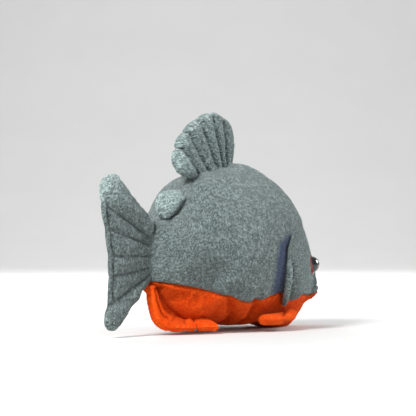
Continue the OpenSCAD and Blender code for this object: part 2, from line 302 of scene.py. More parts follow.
def piece(name, points, faces, nap, slot, height, stands_for, fill, painted_light, body=None, bend=None,
          band=None, floor=None):
    """Makes one sewn piece, raises its pile, hangs it on its body's empty if it has one, and
    hides the CAD parts that it stands for.
    nap is each point's place along and across the pile, height is the pile's relief, band is how
    blue the pile is, and the painted light and shade is how much paler or darker the pile is
    made."""
    mesh = bpy.data.meshes.new(name)
    mesh.from_pydata((points * MM).tolist(), [], faces)
    mesh.update()
    obj = bpy.data.objects.new(name, mesh)
    bpy.context.scene.collection.objects.link(obj)
    n = np.zeros(len(points) * 3, np.float32)
    mesh.vertex_normals.foreach_get("vector", n)
    n = n.reshape(-1, 3).astype(float)
    tuft = tufts(mesh, points)
    moved = points + n * (height * tuft)[:, None]
    if floor is not None:
        moved[:, 2] = np.maximum(moved[:, 2], floor + PRESSED_PILE * (tuft + 1))
    mesh.vertices.foreach_set("co", (moved * MM).astype(np.float32).ravel())
    for label, kind, field, values in (
            ("nap", "FLOAT_VECTOR", "vector", nap),
            ("pile", "FLOAT", "value", 0.5 + 0.5 * tuft),
            ("painted_light", "FLOAT", "value", painted_light),
            ("band", "FLOAT", "value", np.zeros(len(points)) if band is None else band)):
        layer = mesh.attributes.new(label, kind, "POINT")
        layer.data.foreach_set(field, np.asarray(values, np.float32).ravel())
    mesh.polygons.foreach_set("use_smooth", np.ones(len(mesh.polygons), bool))
    mesh.materials.append(PLUSH[slot])
    mesh.update()
    if body:
        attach(obj, body)
    else:
        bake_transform(obj)
    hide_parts(*stands_for)


# ---- materials ----

# Sockets of a Mix node that mixes colours.
MIX_FACTOR, MIX_A, MIX_B, MIX_RESULT = 0, 6, 7, 2


def new_material(name):
    mat = bpy.data.materials.new(name)
    mat.use_nodes = True
    return mat, mat.node_tree, mat.node_tree.nodes["Principled BSDF"]


def add(tree, kind, inputs=None, **settings):
    """Adds a node. An input is a value, or another node's socket, which gets linked."""
    node = tree.nodes.new("ShaderNode" + kind)
    for k, v in settings.items():
        setattr(node, k, v)
    for k, v in (inputs or {}).items():
        if isinstance(v, bpy.types.NodeSocket):
            tree.links.new(v, node.inputs[k])
        else:
            node.inputs[k].default_value = v
    return node


def mix(tree, factor, a, b, blend="MIX"):
    """The colour output of a Mix node. a and b are colours or sockets."""
    def colour(v):
        return v if isinstance(v, bpy.types.NodeSocket) else (*v, 1)
    return add(tree, "Mix", {MIX_FACTOR: factor, MIX_A: colour(a), MIX_B: colour(b)},
               data_type="RGBA", blend_type=blend, clamp_result=True).outputs[MIX_RESULT]


def remap(tree, value, a, b, low, high):
    """Turns a to b into low to high."""
    return add(tree, "MapRange", {0: value, 1: a, 2: b, 3: low, 4: high}).outputs[0]


def product(tree, a, b):
    return add(tree, "Math", {0: a, 1: b}, operation="MULTIPLY").outputs[0]


def mottle(tree, place, scale, detail, roughness=0.5, distortion=0.0):
    return add(tree, "TexNoise", {"Vector": place, "Scale": scale, "Detail": detail,
                                  "Roughness": roughness, "Distortion": distortion}).outputs[0]


def attribute(tree, name, output="Fac"):
    return add(tree, "Attribute", attribute_name=name).outputs[output]


def bumps(tree, bsdf, height, strength, distance):
    bump = add(tree, "Bump", {"Height": height, "Strength": strength, "Distance": distance})
    tree.links.new(bump.outputs[0], bsdf.inputs["Normal"])


NAVY = (0.001, 0.017, 0.095)
NAP_STRETCH = (1.0, 1.1, 1)


def plush(name, deep, face, tip, sheen, sheen_colour, banded=False):
    """Short soft pile: a random grain of dark and pale tufts, painted shade between the raised
    tufts and a painted highlight on their tips, in faint patches.
    """
    mat, tree, bsdf = new_material(name)
    nap = attribute(tree, "nap", "Vector")
    along = add(tree, "VectorMath", {0: nap, 1: NAP_STRETCH}, operation="MULTIPLY").outputs[0]
    grain = mottle(tree, along, 1.0, 3.0, 0.62, 0.6)
    fibre = mottle(tree, along, 3.2, 2.0, 0.6)
    patch = mottle(tree, nap, 0.045, 1.0)
    pile = attribute(tree, "pile")
    painted_light = attribute(tree, "painted_light")
    colour = mix(tree, remap(tree, grain, 0.38, 0.56, 0.0, 1.0), deep, face)
    # painted highlight on the raised tufts and painted shade in the hollows between them,
    # following the pile's relief
    colour = mix(tree, remap(tree, pile, 0.5, 0.9, 0.0, 0.3), colour, tip)
    colour = mix(tree, remap(tree, pile, 0.1, 0.45, 0.35, 0.0), colour, deep)
    colour = mix(tree, remap(tree, grain, 0.55, 0.72, 0.0, 0.75), colour, tip)
    if banded:
        broken = product(tree, attribute(tree, "band"), remap(tree, grain, 0.3, 0.7, 0.8, 1.0))
        colour = mix(tree, broken, colour, NAVY)
    # the painted light and shade of the piece, times faint patches of brushed nap
    shade = product(tree, painted_light, remap(tree, patch, 0.3, 0.7, 0.95, 1.04))
    grey = add(tree, "CombineColor", {0: shade, 1: shade, 2: shade}).outputs[0]
    tree.links.new(mix(tree, 1.0, colour, grey, "MULTIPLY"), bsdf.inputs["Base Color"])
    height = add(tree, "Math", {0: grain, 1: fibre}, operation="ADD").outputs[0]
    bumps(tree, bsdf, height, 1.0, 0.0012)
    tree.links.new(remap(tree, grain, 0.3, 0.7, 0.98, 0.82), bsdf.inputs["Roughness"])
    bsdf.inputs["Sheen Weight"].default_value = sheen
    bsdf.inputs["Sheen Roughness"].default_value = 0.42
    bsdf.inputs["Sheen Tint"].default_value = (*sheen_colour, 1)
    bsdf.inputs["Specular IOR Level"].default_value = 0.12
    return mat


def plastic(name, colour, fleck, roughness, coat):
    """Moulded plastic with faint flow marks."""
    mat, tree, bsdf = new_material(name)
    flow = mottle(tree, add(tree, "TexCoord").outputs["Object"], 420.0, 3.0)
    tree.links.new(mix(tree, remap(tree, flow, 0.4, 0.7, 0.0, 1.0), colour, fleck),
                   bsdf.inputs["Base Color"])
    tree.links.new(remap(tree, flow, 0.3, 0.7, roughness, roughness * 1.6),
                   bsdf.inputs["Roughness"])
    bumps(tree, bsdf, flow, 0.05, 0.0002)
    bsdf.inputs["Coat Weight"].default_value = coat
    bsdf.inputs["Coat Roughness"].default_value = 0.04
    return mat


def fibre_fill(name, hollow, strands):
    """Loose white polyester fibre."""
    mat, tree, bsdf = new_material(name)
    strand = mottle(tree, add(tree, "TexCoord").outputs["Object"], 260.0, 6.0, 0.75, 2.0)
    tree.links.new(mix(tree, remap(tree, strand, 0.35, 0.65, 0.0, 1.0), hollow, strands),
                   bsdf.inputs["Base Color"])
    bumps(tree, bsdf, strand, 0.9, 0.002)
    bsdf.inputs["Roughness"].default_value = 0.95
    bsdf.inputs["Sheen Weight"].default_value = 0.3
    return mat


PLUSH = {
    "grey_plush": plush("grey_pile", (0.03, 0.043, 0.042), (0.168, 0.224, 0.217),
                        (0.58, 0.69, 0.66), 0.3, (0.8, 0.86, 0.85), banded=True),
    "orange_plush": plush("orange_pile", (0.74, 0.038, 0.001), (0.97, 0.084, 0.002),
                          (1.0, 0.2, 0.02), 0.06, (1.0, 0.4, 0.1)),
}
BLACK = plastic("eye_black", (0.006, 0.006, 0.007), (0.012, 0.012, 0.014), 0.05, 1.0)
RED = plastic("iris_red", (0.36, 0.012, 0.008), (0.55, 0.03, 0.014), 0.14, 0.8)
WASHER = plastic("washer_white", (0.66, 0.66, 0.64), (0.74, 0.74, 0.72), 0.4, 0.0)
FILL = fibre_fill("polyester_fill", (0.62, 0.61, 0.57), (0.9, 0.89, 0.86))


# ---- the body's outline ----

# Rows of x from the tail's seam to the snout, and a value there.
BACK_Z = [[-80.5, 86], [-70, 86.5], [-62, 89], [-54, 96.5], [-46, 107], [-38.5, 115.5],
          [-27.5, 121.8], [-15, 125.2], [3.5, 130], [17, 132.6], [33, 131.2], [50, 125.5],
          [66, 117], [80, 106.3], [92, 94.5], [104, 81], [114, 67.5], [122, 55.5], [129, 44.5],
          [133, 37.5], [134.5, 33]]
BELLY_Z = [[-80.5, 40], [-74, 34], [-66, 25.5], [-57, 17], [-47, 12], [-32, 10.4], [-18, 9],
           [-5, 6.6], [15, 5.8], [32, 5.8], [46, 5], [57, 2.4], [66, -0.8], [75, -1.4],
           [83, -0.6], [90, 3.5], [97, 9], [105, 13.5], [116, 18.5], [126, 22.5], [131, 25.2],
           [134.5, 29.5]]
HALF_W = [[-80.5, 0.06], [-79, 0.2], [-75.5, 0.34], [-68, 0.48], [-58, 0.63], [-45, 0.79],
          [-30, 0.92], [-15, 0.98], [2, 1], [20, 1], [36, 0.985], [50, 0.94], [64, 0.85],
          [76, 0.73], [88, 0.59], [100, 0.44], [112, 0.3], [122, 0.2], [129, 0.14],
          [133, 0.09], [134.5, 0.05]]
WIDEST_Z = [[-80.5, 63], [-60, 60], [-30, 58], [0, 56], [30, 53], [60, 47], [90, 42],
            [115, 37], [130, 33.5], [134.5, 31.3]]
BACK_ROUND = [[-80.5, 0.8], [-50, 0.7], [-32, 0.68], [-10, 0.8], [10, 0.98], [40, 1.15],
              [80, 1.1], [120, 0.9], [134.5, 0.8]]
BELLY_ROUND = [[-80.5, 0.9], [-40, 0.8], [0, 0.75], [60, 0.7], [100, 0.8], [134.5, 0.9]]
SEAM_Z = [[-80.5, 40.5], [-70, 38.6], [-58, 35.2], [-47, 32], [-37, 29.4], [-25, 26.3],
          [-13, 24], [0, 23.5], [12, 26.4], [25, 29], [40, 27.5], [60, 26.8], [85, 25.6],
          [104, 23.2], [120, 23.8], [129, 25.8], [134.5, 30.2]]
body_low, body_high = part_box("body_panel_right")
TAIL_X, SNOUT_X = body_low.x / MM, body_high.x / MM
HALF_BODY = max(-body_low.y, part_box("body_panel_left")[1].y) / MM


def section(x, angle):
    """Point of the body's right side at x, at an angle from the ridge (0) to the keel (180)."""
    c, s = np.cos(np.radians(angle)), np.sin(np.radians(angle))
    mid = curve(WIDEST_Z, x)
    reach = np.where(c > 0, curve(BACK_Z, x) - mid, mid - curve(BELLY_Z, x))
    power = np.where(c > 0, curve(BACK_ROUND, x), curve(BELLY_ROUND, x))
    y = -HALF_BODY * curve(HALF_W, x) * np.maximum(s, 0) ** power
    return np.stack([np.broadcast_to(x, y.shape), y, np.maximum(mid + c * reach, 0)], -1)


def angle_at(x, z):
    """The angle at which the section at x reaches the height z, kept off the ridge and keel."""
    mid = curve(WIDEST_Z, x)
    reach = np.where(z > mid, curve(BACK_Z, x) - mid, mid - curve(BELLY_Z, x))
    return np.degrees(np.arccos(np.clip((z - mid) / reach, -0.98, 0.98)))


def side_point(x, z):
    """Point and outward normal of the body's right side at x, z."""
    x, z = np.broadcast_arrays(np.asarray(x, float), np.asarray(z, float))
    a = angle_at(x, z)
    dx, da = 0.4, 1
    along = section(x + dx, a) - section(x - dx, a)
    around = section(x, a + da) - section(x, a - da)
    n = np.cross(around, along)
    return section(x, a), n / np.linalg.norm(n, axis=-1, keepdims=True)


# The gill cover's lowest and highest z, and its free edge, which curls forward at both ends.
GILL_Z = (19.0, 78.0)
GILL_REAR_X = 26
GILL_CURL_TOP, GILL_CURL_BOTTOM = 15, 9


def gill_rear(z):
    """x of the gill cover's free edge at a height."""
    v = (z - GILL_Z[0]) / (GILL_Z[1] - GILL_Z[0])
    curl = np.where(v > 0.5, GILL_CURL_TOP, GILL_CURL_BOTTOM)
    return GILL_REAR_X + curl * np.abs(2 * v - 1) ** 2.5


def behind_gill(points):
    """How far points lie behind the gill cover's free edge."""
    return gill_rear(np.clip(points[..., 2], *GILL_Z)) - points[..., 0]


def form(p):
    """How far the stuffed body stands out from its plain outline, at points of either side."""
    x, y, z = p[..., 0], np.abs(p[..., 1]), p[..., 2]
    # the bulge round the tail, the hollow in front of it, and the full flank
    out = 5.2 * bell(x + 67, 9) * bell(z - 57, 17)
    out -= 5.0 * bell(x + 46, 10) * bell(z - 44, 12)
    out += 1.6 * bell(x + 8, 30) * bell(z - 78, 30) * smooth(20, 40, y)
    # the two folds where the belly's lobes meet, and the lobes
    low = smooth(2, 12, y) * smooth(31, 22, z)
    out -= 7.5 * bell(x + 27 - 1.2 * (25 - z), 3.8) * low
    out -= 5.0 * bell(x - 2 - 0.56 * (19.5 - z), 3.6) * low
    out += 1.8 * bell(x + 46, 15) * low + 1.0 * bell(x + 8, 9) * low
    # the narrow throat and muzzle
    out -= (7.5 * smooth(58, 84, x) * smooth(130, 118, x) * smooth(30, 17, z)
            * smooth(5, 26, y))
    out -= 2.8 * smooth(98, 112, x) * smooth(44, 38, z) * smooth(2, 8, y)
    # the dip under the gill cover's free edge
    out -= (1.6 * bell(x - gill_rear(z) + 3.5, 3.5) * smooth(18, 26, z) * smooth(78, 68, z)
            * smooth(20, 30, y))
    # the bridge between the brow and the lip, the lower lip, and the cheek
    out -= 0.8 * bell(x - 118, 9) * bell(z - 46, 6)
    out += 1.2 * bell(x - 126, 6) * bell(z - 27, 5)
    out += 1.0 * bell(x - 112, 10) * bell(z - 36, 8)
    return out


# ---- the body's cover ----

# Cells along the body, down each grey side and across the belly, and how finely they are split.
ROWS, SIDE, BELLY = 50, 24, 18
FINE_ROWS, FINE_COLS = 6, 7
RIGHT_SEAM, LEFT_SEAM = SIDE * FINE_COLS, (SIDE + BELLY) * FINE_COLS
LOWEST = 0.25            # height of the chest's flat patch before its pile
PANEL_DEPTH = 2.0
PANEL_LINING_STEP = 6    # the inner side of a panel is the stuffing's side, so it is coarse
PANEL_PILE = 0.36


def body_grid():
    """The whole body as one coarse grid: rings from the tail to the snout, each from the ridge
    down the right side, across the belly and up the left side."""
    t = np.linspace(0, 1, ROWS + 1)
    # the rings are closer together toward both ends
    x = TAIL_X + (SNOUT_X - TAIL_X) * np.where(
        t < 0.5, 0.7 * t * t + 0.65 * t, 1 - 0.9 * (1 - t) ** 2 - 0.55 * (1 - t))
    mid = curve(WIDEST_Z, x)
    level = (curve(SEAM_Z, x) - mid) / (mid - curve(BELLY_Z, x))
    seam = np.degrees(np.arccos(np.clip(level, -0.98, 0.98)))
    down = np.linspace(0, 1, SIDE + 1)[None] * seam[:, None]
    under = seam[:, None] + np.linspace(0, 1, BELLY + 1)[None, 1:-1] * (360 - 2 * seam)[:, None]
    angle = np.concatenate([down, under, 360 - down[:, :0:-1]], axis=1)
    right = angle <= 180
    g = section(x[:, None], np.where(right, angle, 360 - angle))
    g[..., 1] *= np.where(right, 1, -1)
    g[:, 0, 1] = 0
    return g


def blown_body():
    """The coarse body, shaped and then blown up as cloth between its seams."""
    g = body_grid()
    g = g - normals_of(g, ring=True) * form(g)[..., None]
    h, w = g.shape[:2]
    index = np.arange(h * w).reshape(h, w)
    pins = sorted({*index[0], *index[-1], *index[:, 0], *index[:, SIDE],
                   *index[:, SIDE + BELLY]})
    x, z = g[..., 0], g[..., 2]
    # the head and the cheeks behind the gill covers hardly move, and the chest stays flat
    held = np.maximum(smooth(20, 30, x) * smooth(90, 80, z), smooth(70, 84, x))
    cap = 2.6 * (1 - held) + 0.25 * held
    cap *= 1 - 0.9 * smooth(16, 6, z) * smooth(52, 60, x)
    blown = inflate(g.reshape(-1, 3), grid_faces(index, flip=True, ring=True), pins,
                    cap.ravel(), pressure=3.0, spare=0.02)
    return blown.reshape(h, w, 3)


def sewn_body():
    """The body's surface as a fine ring grid with its seams, gathers and mouth, the nap of its
    pile, and the painted shade on its pile."""
    fine = finer(blown_body(), FINE_ROWS, FINE_COLS, ring=True)
    outward = -normals_of(fine, ring=True)
    x, z = fine[..., 0], fine[..., 2]
    run = arc(closed(fine), 1)
    run, total = run[:, :-1], run[:, -1:]
    ridge = np.minimum(run, total - run)
    seam = np.minimum(*[np.abs(run - run[:, k:k + 1]) for k in (RIGHT_SEAM, LEFT_SEAM)])
    # the cloth dips at a seam and puffs up in little gathers beside it
    gather = noise_at(fine, (4.2, 30, 12), GATHER_SEED)
    out = -0.5 * bell(ridge, 1.2) + 0.15 * gather * bell(ridge, 4)
    out += (-1.2 * bell(seam, 1.0) + 0.15 * gather * bell(seam - 3, 2)
            + 0.4 * bell(seam - 3.5, 2.4))
    # the mouth: a crease from the tip of the snout back along the jaw, over a soft lip
    mouth = 32.4 - 0.20 * (134 - x) + 1.2 * bell(x - 128, 6)
    out -= 1.2 * bell(z - mouth, 1.2) * smooth(106, 114, x)
    out += 0.4 * bell(z - mouth + 3.2, 2.0) * smooth(110, 118, x)
    out += 0.5 * noise_at(fine, 22, SWELL_SEED) + 0.25 * noise_at(fine, 9, LUMP_SEED)
    out *= smooth(0, 0.02, np.linspace(0, 1, len(fine)))[:, None]
    fine = fine + outward * out[..., None]
    fine[..., 2] = np.maximum(fine[..., 2], LOWEST)
    # one more row gathers each end shut: the tail's flat, the snout's toward a point
    tail, snout = fine[0].copy(), fine[-1].copy()
    tail[:, 1] *= 0.08
    tail[:, 0] -= 0.9
    snout[:, 1] *= 0.08
    snout = 0.2 * snout + 0.8 * snout.mean(0)
    snout[:, 0] += 0.6
    fine = np.concatenate([[tail], fine, [snout]])
    seam = np.concatenate([seam[:1], seam, seam[-1:]])
    nap = np.stack([arc(fine, 0), arc(closed(fine), 1)[:, :-1], np.zeros(seam.shape)], -1)
    # painted shade: darker in the seams, in the slit behind the gill covers, and over the bulge
    # and hollow by the tail
    x, z = fine[..., 0], fine[..., 2]
    slit = bell(behind_gill(fine) - 0.6, 1.8)
    painted_light = 1 - 0.35 * bell(seam, 0.8)
    painted_light *= 1 - 0.75 * slit * smooth(18, 24, z) * smooth(74, 64, z)
    painted_light *= 1 - 0.12 * bell(x + 62, 14) * bell(z - 50, 17)
    return fine, nap, painted_light


def band_of(points):
    """The airbrushed stripe behind each gill cover."""
    z = points[:, 2]
    behind = behind_gill(points)
    edge = 19 + 0.02 * (z - 28) + 1.2 * noise_at(points, 7, STRIPE_SEED)
    soft = smooth(edge, edge - 8.5, behind) * smooth(-10, -6, behind)
    return soft * smooth(80, 70, z) * smooth(12, 16, z)


def panel(name, g, nap, painted_light, slot, nodes, floor, band):
    """One panel of the body's cover, whose pile is short along its seams."""
    points, faces, owner = shell(g, PANEL_DEPTH, PANEL_LINING_STEP)
    column = np.arange(g.shape[1])
    from_seam = np.minimum(column, column[::-1])
    relief = np.broadcast_to(PANEL_PILE * (0.15 + 0.85 * smooth(0, 3, from_seam)), g.shape[:2])
    piece(name, points, faces, nap.reshape(-1, 3)[owner], slot, relief.ravel()[owner],
          stands_for=nodes, fill=0.85, painted_light=painted_light.ravel()[owner], body="body",
          band=band_of(g.reshape(-1, 3))[owner] if band else None, floor=floor)


body, body_nap, body_painted_shade = [closed(part) for part in sewn_body()]
for title, first, last, slot, nodes, floor in (
        ("grey_side_right", 0, RIGHT_SEAM, "grey_plush", ("body_panel_right",), None),
        ("orange_belly", RIGHT_SEAM, LEFT_SEAM, "orange_plush",
         ("belly_panel", "body_stuffing"), 0.0),
        ("grey_side_left", LEFT_SEAM, body.shape[1] - 1, "grey_plush",
         ("body_panel_left",), None)):
    cut = slice(first, last + 1)
    panel(title, body[:, cut], body_nap[:, cut], body_painted_shade[:, cut], slot, nodes, floor,
          band=slot == "grey_plush")


# ---- fins ----

UPRIGHT = ("panel_left", "panel_right", "wadding")
FLAT = ("panel_top", "panel_bottom", "wadding")
FIN_PILE = 0.26
SCALLOP_WIDTH = 0.06     # in u, from a stitched line to the crown of the rim between two lines
EDGE_HALF = 0.7          # half the fin's thickness just inside its sewn border
START_FULL = 0.8         # how much of the padding is there before the cloth is blown up
LOWER_PLY_NAP = 40.0     # keeps the lower ply's grain from repeating the upper ply's


def stations(stops, cells):
    """Values from the first stop to the last, with so many cells between each two, and the
    stops' places."""
    values = [np.linspace(a, b, n + 1)[:-1] for a, b, n in zip(stops[:-1], stops[1:], cells)]
    return np.concatenate([*values, [stops[-1]]]), np.concatenate([[0], np.cumsum(cells)])


def stitched(us, vs, u_at, v_at, lines, hems):
    """Marks the points of a fin's grid that lie on its stitched lines and hems."""
    on = np.zeros((len(us), len(vs)), bool)
    for stop, v0, v1 in lines:
        on[u_at[stop]] |= (vs >= v0) & (vs <= v1)
    for stop, u0, u1 in hems:
        on[:, v_at[stop]] |= (us >= u0) & (us <= u1)
    return on


def over(value, us, vs):
    """A number, or a function of u and v, as a grid."""
    if callable(value):
        value = value(us[:, None], vs[None])
    return np.broadcast_to(value, (len(us), len(vs)))


def fin(part, plies, base, rim, u_stops, u_cells, v_stops, v_cells, pad, shade, bend, slot, sink,
        reach, cap, lines=(), hems=(), scallop=0.0, fill=0.6, split=(4, 4), floor=None,
        mirror=False, spare=0.03, crease=1.1, flare=None):
    """A padded fin: two plies sewn together round the rim and along stitched lines, blown up as
    cloth. base and rim are rows [u, x, y, z]. lines are (stop of u, first v, last v), and hems
    are (stop of v, first u, last u). pad is half the stuffing's thickness and shade the painted
    light and shade on the pile, each as a number or a function of u and v. sink is how far the
    fin goes into the body, reach how far from a seam it is full, and crease how wide a stitched
    line's crease is."""
    us, u_at = stations(u_stops, u_cells)
    vs, v_at = stations(v_stops, v_cells)
    a, b = curve(base, us), curve(rim, us)
    away = (b - a) / np.linalg.norm(b - a, axis=1, keepdims=True)
    a = a - sink * away
    if scallop:
        crown = np.min(np.abs(us[:, None] - np.array(u_stops)[None]), axis=1) / SCALLOP_WIDTH
        b = b + away * (scallop * (np.clip(crown, 0, 1) ** 0.5 - 0.6))[:, None]
    mid = a[:, None] + (b - a)[:, None] * vs[None, :, None]
    if flare is not None:
        mid = flare(mid, us[:, None], vs[None])
    h, w = mid.shape[:2]

    # the flat cut of the two plies, blown up between its seams
    border = np.zeros((h, w), bool)
    for edge in EDGES:
        border[edge] = True
    sewn = border | stitched(us, vs, u_at, v_at, lines, hems)
    gap = distance_to(mid, mid[sewn])
    full = np.sqrt(1 - (1 - np.clip(gap / reach, 0, 1)) ** 2)
    half = EDGE_HALF + (START_FULL * over(pad, us, vs) - EDGE_HALF) * full
    half[border] = 0
    lift = normals_of(mid) * half[..., None]
    points, faces, owner = pillow(mid + lift, mid - lift)
    pins = np.flatnonzero(sewn.ravel()[owner])
    blown = inflate(points, faces, pins, cap, pressure=5.0, spare=spare)

    # the fine plies, pulled together along the stitched lines, with crinkles beside them
    fine_mid = finer(mid, *split)
    fine_us = np.interp(np.arange(fine_mid.shape[0]) / split[0], np.arange(h), us)
    fine_vs = np.interp(np.arange(fine_mid.shape[1]) / split[1], np.arange(w), vs)
    on_line = stitched(fine_us, fine_vs, u_at * split[0], v_at * split[1], lines, hems)
    far = distance_to(fine_mid, fine_mid[on_line])
    pull = (0.62 + 0.2 * noise_at(fine_mid, 2.6, STITCH_SEED)) * bell(far, crease)
    sides = []
    for index in pillow_index(h, w)[:2]:
        lean = finer(blown[index], *split) - fine_mid
        thick = np.linalg.norm(lean, axis=2)
        out = lean / np.maximum(thick[..., None], 1e-6)
        g = fine_mid + lean * (1 - pull)[..., None]
        crinkle = noise_at(g, 3.4, CRINKLE_SEED)
        g = g + out * (0.14 * crinkle * bell(far - 1.5, 2.4))[..., None]
        puff = noise_at(g, 14, PUFF_SEED)
        g = g + out * (0.3 * puff * np.clip(thick / 2, 0, 1))[..., None]
        sides.append(g)
    for edge in EDGES:
        sides[1][edge] = sides[0][edge]
    points, faces, owner = pillow(*sides)

    nap = np.stack([arc(fine_mid, 1), arc(fine_mid, 0), np.zeros(far.shape)], -1)
    nap = nap.reshape(-1, 3)[owner]
    nap[far.size:, 2] += LOWER_PLY_NAP
    light = finer(np.repeat(over(shade, us, vs)[..., None], 3, 2), *split)[..., 0]
    # painted shade in the creases along the stitched lines and hems
    painted_light = (light * (1 - 0.45 * bell(far, 0.7))).ravel()[owner]
    for side in SIDES if mirror else ("right",):
        sign = SIDES[side]
        part_there = part.replace("right", side)
        piece(part_there + "_cover", *on_side(points, faces, sign), nap, slot, FIN_PILE,
              stands_for=[f"{part_there}_{ply}" for ply in plies], fill=fill, painted_light=painted_light,
              bend=("body", part_there, *[(x, sign * y, z) for x, y, z in bend]), floor=floor)


def spaced(rows):
    """Rows [x, y, z] with an evenly spaced u in front of each."""
    return [[i / (len(rows) - 1), *r] for i, r in enumerate(rows)]


def tail_pad(u, v):
    return 1.9 + 5.8 * smooth(0.74, 0.86, u) + 2.6 * smooth(0.33, 0.2, u)


def tail_painted_light(u, v):
    """Painted highlight, paler over the upper lobe's roll and most toward its tip."""
    tip = 0.85 * smooth(0.7, 0.8, u) * smooth(0.5, 0.95, v)
    return 1 + tip + 0.1 * smooth(0.74, 0.8, u)


hinge_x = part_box("tail_fin_wadding")[1].x / MM
fin("tail_fin", UPRIGHT,
    base=[[u, hinge_x, 0, z] for u, z in ((0, 41), (0.33, 45), (0.44, 50.5), (0.52, 59.5),
                                          (0.625, 67.5), (0.745, 73.5), (1, 87))],
    rim=spaced([[-113, 0, 12], [-121, 0, 5.5], [-129.5, 0, 10], [-127.5, 0, 32],
                [-127.3, 0, 56], [-131, 0, 80], [-134.9, 0, 100], [-130, 0, 116],
                [-120, 0, 120.5]]),
    u_stops=[0, 0.33, 0.44, 0.52, 0.625, 0.745, 1], u_cells=[14, 6, 5, 6, 7, 12],
    v_stops=[0, 0.9, 1], v_cells=[18, 3],
    lines=[(1, 0.0, 0.97), (2, 0.0, 0.95), (3, 0.0, 0.95), (4, 0.0, 0.95), (5, 0.0, 0.93)],
    hems=[(1, 0.34, 0.74)],
    pad=tail_pad, shade=tail_painted_light, bend=((-80, 0, 64), (-89, 0, 64)),
    slot="grey_plush", sink=2.6, reach=7.0, scallop=0.8, cap=2.6)


# painted light: the whole fin is painted paler, its rear lobe most of all
def dorsal_painted_light(u, v):
    return 1.5 + 0.25 * smooth(0.3, 0.2, u)


def dorsal_flare(p, u, v):
    """Leans the rear of the dorsal fin to the right, toward its rim."""
    p = p.copy()
    p[..., 1] -= 5.0 * smooth(0.27, 0.1, u) * smooth(0, 0.7, v)
    return p


fin("dorsal_fin", UPRIGHT,
    base=[[0, -38.5, 0, 119.9], [0.25, -27.6, 0, 122.8], [0.375, -15.3, 0, 126.1],
          [0.5, -4.4, 0, 129], [0.61, 2.9, 0, 131], [0.72, 8.6, 0, 132.5], [1, 16.5, 0, 134.6]],
    rim=spaced([[-50, 0, 121.5], [-56, 0, 131], [-50.5, 0, 143], [-41, 0, 156], [-26, 0, 166],
                [-9, 0, 171.5], [6, 0, 168.5], [14.5, 0, 159.5], [17.5, 0, 146]]),
    u_stops=[0, 0.25, 0.375, 0.5, 0.61, 0.72, 1], u_cells=[12, 8, 8, 8, 8, 14],
    v_stops=[0, 1], v_cells=[20],
    lines=[(1, 0.0, 1.0), (2, 0.0, 0.96), (3, 0.0, 0.96), (4, 0.0, 0.94), (5, 0.0, 0.92)],
    pad=6.5, shade=dorsal_painted_light, bend=((-11, 0, 125.5), (-13, 0, 133)),
    slot="grey_plush", sink=4.5, reach=6.5, scallop=1.8, fill=0.75, cap=2.8,
    flare=dorsal_flare)


def adipose_painted_light(u, v):
    """Painted highlight over the fin, and painted shade at its foot."""
    return 2.1 - 1.2 * smooth(0.2, 0.05, v)


fin("adipose_fin", UPRIGHT,
    base=spaced([[-66, -5, 87.9], [-57.5, -7, 94.2], [-49.5, -8.5, 103]]),
    rim=spaced([[-69, -4, 87], [-73, -1.5, 91.5], [-73, 1, 99], [-68.5, 2, 106],
                [-59.5, 0, 109.2], [-51, -5, 109.5]]),
    u_stops=[0, 0.34, 1], u_cells=[8, 14], v_stops=[0, 1], v_cells=[10],
    pad=4.6, shade=adipose_painted_light, bend=((-53, -4, 98), (-58, -2, 102)),
    slot="grey_plush", sink=1.2, reach=4.2, fill=0.7, split=(5, 5), cap=2.0)


def anal_pad(u, v):
    """Thin where the fin hangs from the keel, full past the fold, nipped in at the folds."""
    full = 1.0 + (5.2 - 1.8 * smooth(0.5, 0.7, u)) * smooth(0.44, 0.54, v)
    return full * (1 - 0.4 * bell(u - 0.715, 0.02) - 0.15 * bell(u - 0.58, 0.02))


# painted highlight on the fin's outer, splayed part, which faces the light from above
def anal_painted_light(u, v):
    return 1 + 0.2 * smooth(0.42, 0.54, v)


fin("anal_fin", FLAT,
    base=spaced([[-78.5, 0, 38], [-70, 0, 31], [-60, -1, 21.5], [-50, -2, 15.5], [-42, -4, 13],
                 [-33, -9, 12]]),
    rim=spaced([[-83, -1, 37], [-82.5, -3, 22], [-80, -6, 10.5], [-71, -13, 4.9],
                [-53, -23, 4.9], [-38, -33, 5.0]]),
    u_stops=[0, 0.2, 0.42, 0.6, 0.715, 0.8, 1], u_cells=[8, 9, 7, 5, 4, 9],
    v_stops=[0, 0.5, 0.75, 1], v_cells=[6, 6, 6],
    lines=[(5, 0.3, 1.0)], hems=[(1, 0.04, 0.8), (2, 0.04, 0.5)],
    pad=anal_pad, shade=anal_painted_light, bend=((-58, 0, 28), (-72, -10, 10)),
    slot="orange_plush", sink=2.0, reach=3.8, fill=0.65, floor=0.0, cap=1.6, spare=0.0,
    crease=0.75)


def pectoral_pad(u, v):
    """Nipped in near the tip, where the fin creases."""
    return 4.8 * (1 - 0.5 * bell(u - 0.56, 0.06) * smooth(0.3, 0.8, v))


fin("pectoral_fin_right", FLAT,
    base=spaced([[38, -36.8, 10], [44, -36, 10.5], [50, -35, 11]]),
    rim=spaced([[6, -37.5, 9.6], [-1, -41.5, 9.4], [3, -47, 9.4], [14, -50.5, 9.4],
                [26, -51.5, 11.4], [36.5, -49, 15], [43, -43.5, 15.6]]),
    u_stops=[0, 0.55, 1], u_cells=[14, 12], v_stops=[0, 1], v_cells=[16],
    # painted light: the pectoral fins' pile is painted paler
    pad=pectoral_pad, shade=1.35, bend=((46, -35, 8.5), (42, -42, 8.5)),
    slot="orange_plush", sink=7.0, reach=5.6, fill=0.75, floor=0.0, mirror=True, cap=1.0,
    spare=0.01)


# ---- gill covers ----

FLAP_ROWS, FLAP_COLS = 90, 120
FLAP_PILE = 0.25


